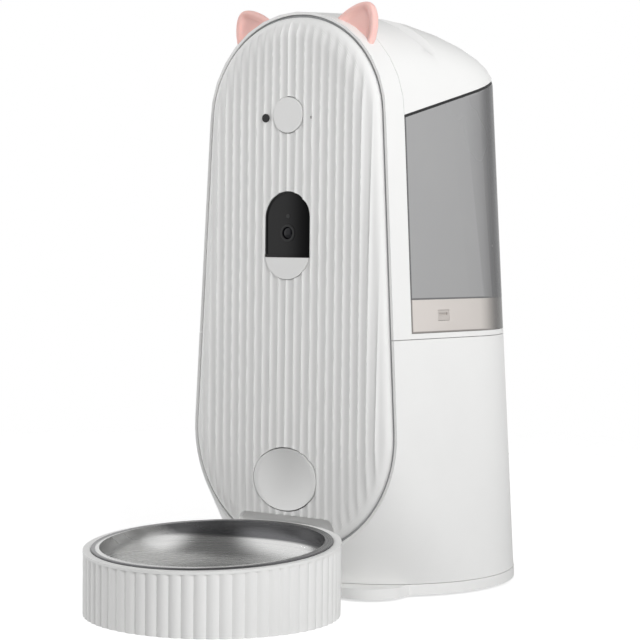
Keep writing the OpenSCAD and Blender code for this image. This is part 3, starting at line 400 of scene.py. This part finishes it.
def drum(x, z, radius, stretch_x=1.0, lengthen=0.0, sides=96):
    """Closed drum along Y that cuts through the panel: stretched across, or parted at its middle and
    lengthened upright."""
    form = bmesh.new()
    bmesh.ops.create_cone(form, segments=sides, radius1=radius, radius2=radius, depth=CUT_BACK - CUT_FRONT,
                          cap_ends=True, matrix=Matrix.Rotation(math.radians(90), 4, "X"))
    bmesh.ops.scale(form, vec=(stretch_x, 1, 1), verts=form.verts)
    for way in (-1, 1):
        half = [vert for vert in form.verts if vert.co.z * way > 0]
        bmesh.ops.translate(form, vec=(0, 0, way * lengthen), verts=half)
    bmesh.ops.translate(form, vec=(x, RIM_Y + (CUT_FRONT + CUT_BACK) / 2, z), verts=form.verts)
    bmesh.ops.scale(form, vec=(MM, MM, MM), verts=form.verts)
    return form


def recess_block(grow, y0, y1):
    """Block with round upper corners, for the recess behind the bowl."""
    half, top, low = RECESS_HALF + grow, RECESS_TOP + grow, RECESS_LOW
    form = bmesh.new()
    bmesh.ops.create_cube(form, size=1)
    bmesh.ops.scale(form, vec=(2 * half, y1 - y0, top - low), verts=form.verts)
    bmesh.ops.translate(form, vec=(0, RIM_Y + (y0 + y1) / 2, (top + low) / 2), verts=form.verts)
    corners = [edge for edge in form.edges if all(vert.co.z > top - 1 for vert in edge.verts)
               and abs(edge.verts[0].co.x - edge.verts[1].co.x) < 1]
    bmesh.ops.bevel(form, geom=corners, offset=RECESS_CORNER + grow, segments=8, profile=0.5, affect="EDGES",
                    material=-1)
    bmesh.ops.scale(form, vec=(MM, MM, MM), verts=form.verts)
    return form


def cut(piece, forms):
    """Cuts closed forms out of a piece and keeps the result as its mesh."""
    tools = [new_piece("cutter", form) for form in forms]
    for tool in tools:
        knife = piece.modifiers.new("cut", "BOOLEAN")
        knife.operation, knife.solver, knife.object = "DIFFERENCE", "EXACT", tool
    shaped = bpy.data.meshes.new_from_object(piece.evaluated_get(bpy.context.evaluated_depsgraph_get()))
    piece.modifiers.clear()
    piece.data = shaped
    for tool in tools:
        bpy.data.objects.remove(tool)


def fluted_panel():
    """The front panel: a fluted shell with its openings and the pocket that the bowl's back slides into."""
    hollow = new_piece("hollow", cushion(columns=48, rows=60, shrink=SKIN, flute=0))
    cut(hollow, [recess_block(RECESS_WALL, -12, RECESS_FLOOR + RECESS_WALL)])
    inner = bmesh.new()
    inner.from_mesh(hollow.data)
    bpy.data.objects.remove(hollow)
    outer = cushion(columns=440, rows=140, shrink=0, flute=FLUTE_DEPTH)
    panel = new_piece("reeded_panel", outer, "panel_white")
    cut(panel, [inner, drum(*BUTTON_HOLE), drum(*SENSOR_HOLE, sides=48), drum(*SOUND_HOLE, sides=24),
                drum(*WINDOW_HOLE, lengthen=WINDOW_PART), drum(*DISH_HOLE, stretch_x=DISH_HALF / DISH_HOLE[2]),
                recess_block(0, CUT_FRONT, RECESS_FLOOR)])
    panel.data.materials.clear()
    panel.data.materials.append(finishes["panel_white"])
    sharp_above(panel, 50)
    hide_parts("front_panel")
    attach(panel, "feeder")


fluted_panel()

# Cat ear seen from the front, in millimetres: its outline from the inner foot over the tip to the outer foot,
# its middle depth and half thickness, and the insets, width and sink of each, that make its rim and hollow
EAR_OUTLINE = ((21.5, 358), (25.5, 363.2), (33.5, 368.4), (41, 371.2), (47.5, 371.9), (51.9, 368.9),
               (53.8, 362.5), (53.9, 355.5), (52.6, 348.5), (48.5, 339.5), (36, 347))
EAR_Y, EAR_HALF = 10.0, 4.8
EAR_INSETS = ((3.4, 0), (1.6, 2.4), (3.0, 0.6))


def silicone_ear(name, side):
    """One soft ear: the outline is given thickness, its front sinks in behind a broad rim, and everything is
    rounded by subdivision."""
    form = bmesh.new()
    front_y = RIM_Y + EAR_Y - EAR_HALF
    loop = [form.verts.new((x * side * MM, front_y * MM, z * MM)) for x, z in EAR_OUTLINE]
    face = form.faces.new(loop)
    back = bmesh.ops.extrude_face_region(form, geom=[face])
    moved = [item for item in back["geom"] if isinstance(item, bmesh.types.BMVert)]
    bmesh.ops.translate(form, vec=(0, 2 * EAR_HALF * MM, 0), verts=moved)
    bmesh.ops.recalc_face_normals(form, faces=form.faces)
    front = min(form.faces, key=lambda item: item.calc_center_median().y)
    for width, sink in EAR_INSETS:
        bmesh.ops.inset_region(form, faces=[front], thickness=width * MM, depth=-sink * MM)
    ear = new_piece(name, form, "pink_silicone")
    ear.data.shade_smooth()
    soft = ear.modifiers.new("soft_edges", "SUBSURF")
    soft.levels = soft.render_levels = 3
    return ear


for name, node, side in (("silicone_ear_right", "right_ear", 1), ("silicone_ear_left", "left_ear", -1)):
    ear = silicone_ear(name, side)
    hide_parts(node)
    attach(ear, "feeder")


# Where the lid's roof is felt round the desiccant box, in shares of the box's radius and in steps round it, and
# the steps and the wall, in millimetres, of the cup that takes the box's place
ROOF_RINGS, ROOF_STEPS = (1.05, 1.12, 1.2), 72
CUP_RINGS, CUP_SIDES, CUP_WALL = 16, 96, 1.4


def roof_terms(x, y):
    """Terms of the smooth surface that is fitted to the lid's roof."""
    return (1, x, y, x * x, x * y, y * y, y ** 3, x * x * y)


def flush_desiccant_box():
    """The desiccant box with its top kept under the lid's roof. The roof is fitted to points round the box."""
    low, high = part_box("desiccant_box")
    middle, radius = (low + high) / 2, (high.x - low.x) / 2
    lid = frame["nodes"]["lid"].data
    shell = BVHTree.FromPolygons([vert.co for vert in lid.vertices], [face.vertices for face in lid.polygons])
    places, heights = [], []
    for step in range(ROOF_STEPS):
        angle = math.tau * step / ROOF_STEPS
        for reach in ROOF_RINGS:
            x, y = radius * reach * math.cos(angle), radius * reach * math.sin(angle)
            above = Vector((middle.x + x, middle.y + y, high.z + 0.1))
            places.append(roof_terms(x, y))
            heights.append(shell.ray_cast(above, Vector((0, 0, -1)))[0].z)
    fit = np.linalg.lstsq(np.array(places), np.array(heights), rcond=None)[0]
    form = bmesh.new()
    spoke = [form.verts.new((radius * step / CUP_RINGS, 0, 0)) for step in range(CUP_RINGS + 1)]
    edges = [form.edges.new(pair) for pair in zip(spoke, spoke[1:])]
    bmesh.ops.spin(form, geom=spoke + edges, cent=(0, 0, 0), axis=(0, 0, 1), angle=math.tau, steps=CUP_SIDES,
                   use_merge=True)
    bmesh.ops.remove_doubles(form, verts=form.verts, dist=0.001 * MM)
    rim = [edge for edge in form.edges if edge.is_boundary]
    sides = bmesh.ops.extrude_edge_only(form, edges=rim)["geom"]
    foot = {item for item in sides if isinstance(item, bmesh.types.BMVert)}
    for vert in form.verts:
        x, y = vert.co.xy
        roof = float(fit @ np.array(roof_terms(x, y)))
        vert.co = Vector((middle.x + x, middle.y + y, low.z if vert in foot else min(high.z, roof)))
    bmesh.ops.recalc_face_normals(form, faces=form.faces)
    bmesh.ops.solidify(form, geom=form.faces[:], thickness=CUP_WALL * MM)
    box = new_piece("desiccant_cup", form, "white_plastic")
    sharp_above(box, 40)
    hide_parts("desiccant_box")
    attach(box, "lid")


flush_desiccant_box()


def softbox(name, size, power, place, target):
    """A square studio lamp that faces a target and shows in no reflection."""
    lamp = bpy.data.lights.new(name, "AREA")
    lamp.size, lamp.energy = size, power
    holder = bpy.data.objects.new(name, lamp)
    holder.location = place
    holder.visible_glossy = False
    holder.rotation_euler = (Vector(target) - Vector(place)).to_track_quat("-Z", "Y").to_euler()
    scene.collection.objects.link(holder)


BODY_MIDDLE = (0, 0, 0.19)
softbox("key_lamp", size=0.5, power=15.5, place=(1.5, -1.0, 1.4), target=BODY_MIDDLE)
softbox("side_lamp", size=0.4, power=12, place=(-1.9, -0.4, 0.7), target=BODY_MIDDLE)

# Studio walls as a light, and what reflections show instead. For each: degrees round from the front, the shares
# of the way towards it at which it begins and is full, and its brightness.
LIT_WALLS = ((75, 0.6, 1.0, 1.65), (-85, 0.6, 1.0, 1.3))
MIRRORED_WALLS = ((125, 0.25, 0.7, 0.89), (-55, 0.25, 0.7, 0.89), (215, 0.8, 1.0, 0.9))
# Brightness at the level and overhead as a light, and of the dark room in reflections
LEVEL_LIGHT, CEILING_LIGHT, ROOM_LIGHT = 0.22, 0.3, 0.11


def walls(tree, way, rows):
    """Light of the studio walls in these rows, added up."""
    level = None
    for degrees, begins, full, bright in rows:
        aim = (math.sin(math.radians(degrees)), -math.cos(math.radians(degrees)), 0)
        facing = add(tree, "VectorMath", {1: aim}, {0: way}, operation="DOT_PRODUCT")
        wall = add(tree, "MapRange", {"From Min": begins, "From Max": full, "To Max": bright},
                   {"Value": facing.outputs["Value"]}, interpolation_type="SMOOTHSTEP").outputs["Result"]
        if level is None:
            level = wall
        else:
            level = add(tree, "Math", None, {0: level, 1: wall}, operation="ADD").outputs["Value"]
    return level


def backdrop():
    """White world to the eye and through clear plastic. As a light it is a studio with a bright wall at each
    side, a dim front and a soft ceiling. Reflections show the white background and, at the viewer's sides, two
    white screens, with the dark of the room between them."""
    world = bpy.data.worlds.new("studio")
    scene.world = world
    world.use_nodes = True
    tree = world.node_tree
    ray = add(tree, "LightPath")
    way = add(tree, "TexCoord").outputs["Generated"]
    height = add(tree, "SeparateXYZ", None, {"Vector": way}).outputs["Z"]
    above = add(tree, "MapRange", {"To Min": LEVEL_LIGHT, "To Max": CEILING_LIGHT}, {"Value": height})
    light = add(tree, "Math", None, {0: above.outputs["Result"], 1: walls(tree, way, LIT_WALLS)},
                operation="ADD")
    mirrored = add(tree, "Math", {0: ROOM_LIGHT}, {1: walls(tree, way, MIRRORED_WALLS)}, operation="ADD")
    shone = add(tree, "Mix", None, {"A": light.outputs["Value"], "B": mirrored.outputs["Value"],
                                    "Factor": ray.outputs["Is Glossy Ray"]}, data_type="FLOAT")
    clear = add(tree, "Math", None, {0: ray.outputs["Is Camera Ray"], 1: ray.outputs["Is Transmission Ray"]},
                operation="MAXIMUM")
    level = add(tree, "Mix", {"B": 1.0}, {"A": shone.outputs["Result"], "Factor": clear.outputs["Value"]},
                data_type="FLOAT")
    sky = tree.nodes["Background"]
    sky.inputs["Color"].default_value = (1, 1, 1, 1)
    tree.links.new(level.outputs["Result"], sky.inputs["Strength"])


# The paper's radius, where it begins to fade and where it is gone, in metres, and its glow to the eye
PAPER_R, PAPER_FADES, PAPER_GONE, PAPER_GLOW = 1.2, 0.45, 1.1, 0.66


def paper_floor():
    """White paper that fades out into the white world before its edge, so that no horizon shows."""
    bed = bmesh.new()
    bmesh.ops.create_circle(bed, segments=96, radius=PAPER_R, cap_ends=True)
    floor = new_piece("floor", bed)
    paper, tree, skin, place = start("studio_paper_white")
    tint = clouded(tree, place, "#CECECE", "#CACACA", FIBRE_MM, 2.0)[0]
    ray = add(tree, "LightPath")
    glow = add(tree, "MapRange", {"To Max": PAPER_GLOW}, {"Value": ray.outputs["Is Camera Ray"]})
    away = add(tree, "VectorMath", None, {0: place}, operation="LENGTH")
    fade = add(tree, "MapRange", {"From Min": PAPER_FADES, "From Max": PAPER_GONE, "To Min": 1.0,
                                  "To Max": 0.0}, {"Value": away.outputs["Value"]},
               interpolation_type="SMOOTHSTEP")
    dress(tree, skin, {"Base Color": tint, "Emission Strength": glow.outputs["Result"],
                       "Alpha": fade.outputs["Result"]}, Emission_Color=(1, 1, 1, 1), Roughness=0.9)
    floor.data.materials.append(paper)


backdrop()
paper_floor()
scene.view_settings.view_transform = "Standard"
